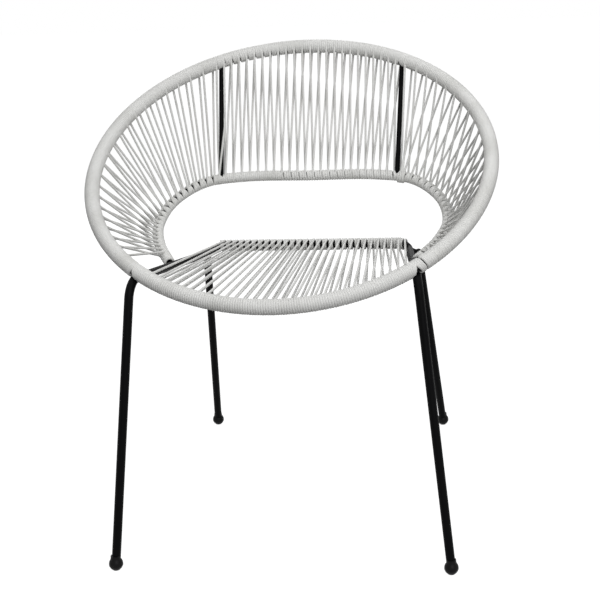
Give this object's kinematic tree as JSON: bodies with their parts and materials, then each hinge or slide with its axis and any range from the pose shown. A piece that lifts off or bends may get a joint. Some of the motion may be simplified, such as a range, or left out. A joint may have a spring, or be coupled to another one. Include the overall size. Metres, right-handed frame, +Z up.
{
  "type": "round corded lounge chair",
  "caption": "Low lounge chair: a tilted round hoop and a curved lower back rail on bent tube legs with ball feet, wrapped and strung with plastic cord that forms the seat and back.",
  "frame": {"origin": "on the floor, under the middle of the four feet", "axes": "+Z up, +Y from the front of the seat towards the back, +X towards the left arm of a person who sits in the chair, which is the right of the chair seen from its front"},
  "size_m": [0.7249, 0.6828, 0.8106],
  "materials": {
    "frame_steel": "black powder coat, satin",
    "ball_foot": "black moulded plastic",
    "cord": "off-white PVC cord, soft sheen"
  },
  "bodies": {
    "root": {"hoop_ring": "frame_steel", "back_rail": "frame_steel", "rear_seat_bar": "frame_steel", "side_frame_left": "frame_steel", "side_frame_right": "frame_steel", "back_strut_left": "frame_steel", "back_strut_right": "frame_steel", "ball_foot_front_left": "ball_foot", "ball_foot_front_right": "ball_foot", "ball_foot_rear_left": "ball_foot", "ball_foot_rear_right": "ball_foot", "hoop_wrap_front": "cord", "hoop_wrap_right_arm": "cord", "hoop_wrap_back": "cord", "hoop_wrap_left_arm": "cord", "rail_wrap_left_arm": "cord", "rail_wrap_back": "cord", "rail_wrap_right_arm": "cord", "back_cord": "cord", "arm_cord_left": "cord", "arm_cord_right": "cord", "seat_cord_left": "cord", "seat_cord_right": "cord"}
  },
  "joints": []
}
